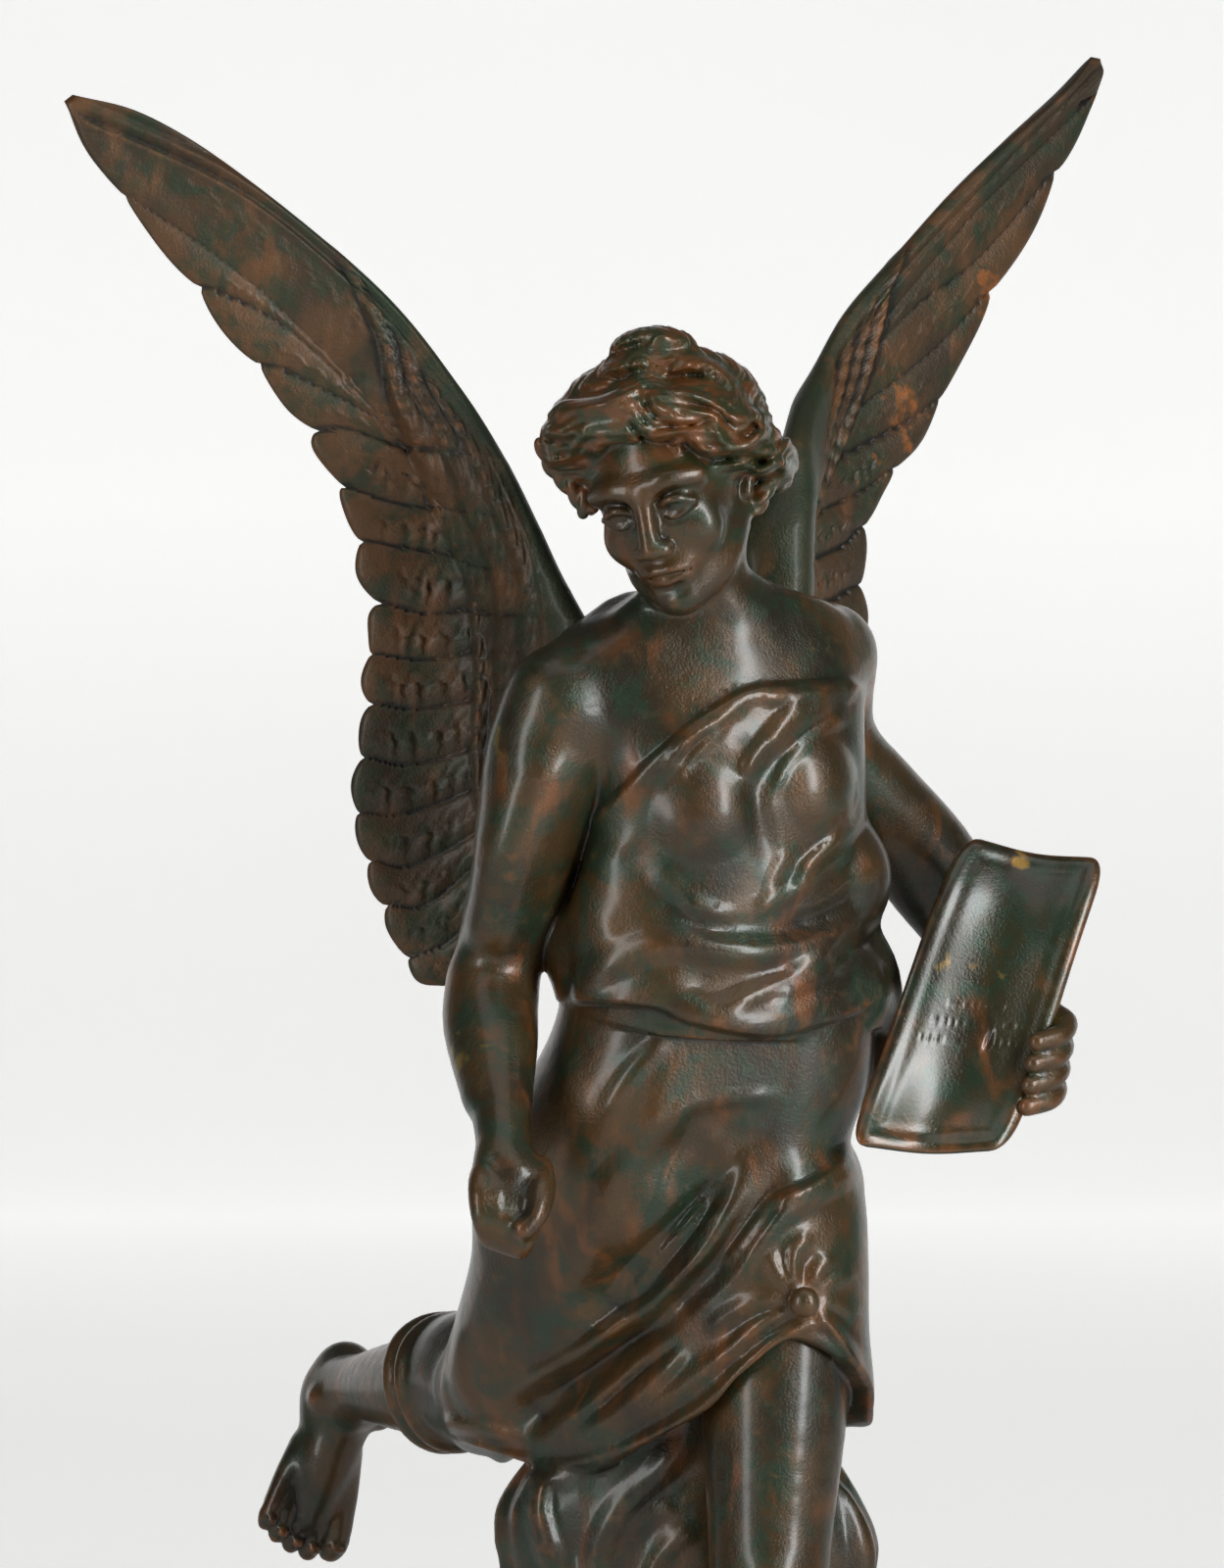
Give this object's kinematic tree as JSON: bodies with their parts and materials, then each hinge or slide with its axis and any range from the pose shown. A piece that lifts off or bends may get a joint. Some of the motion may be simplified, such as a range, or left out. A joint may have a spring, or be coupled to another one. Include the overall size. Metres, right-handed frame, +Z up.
{
  "type": "bronze statuette",
  "caption": "Bronze statuette of a winged victory alighting on one foot, a curved tablet on the left arm, on a low round base.",
  "frame": {"origin": "centre of the round base's underside", "axes": "+Z up; the figure is seen from the front looking along +Y; +X is to the viewer's right, the side of the figure's left arm"},
  "size_m": [0.3136, 0.2485, 0.6368],
  "materials": {
    "figure_bronze": "dark brown patina, glossy",
    "wing_bronze": "brown patina, satin",
    "tablet_bronze": "green-black patina with rubbed gold patches, glossy",
    "base_bronze": "dark brown patina, glossy"
  },
  "bodies": {
    "root": {"figure": "figure_bronze", "right_wing": "wing_bronze", "left_wing": "wing_bronze", "tablet": "tablet_bronze", "base": "base_bronze"}
  },
  "joints": []
}
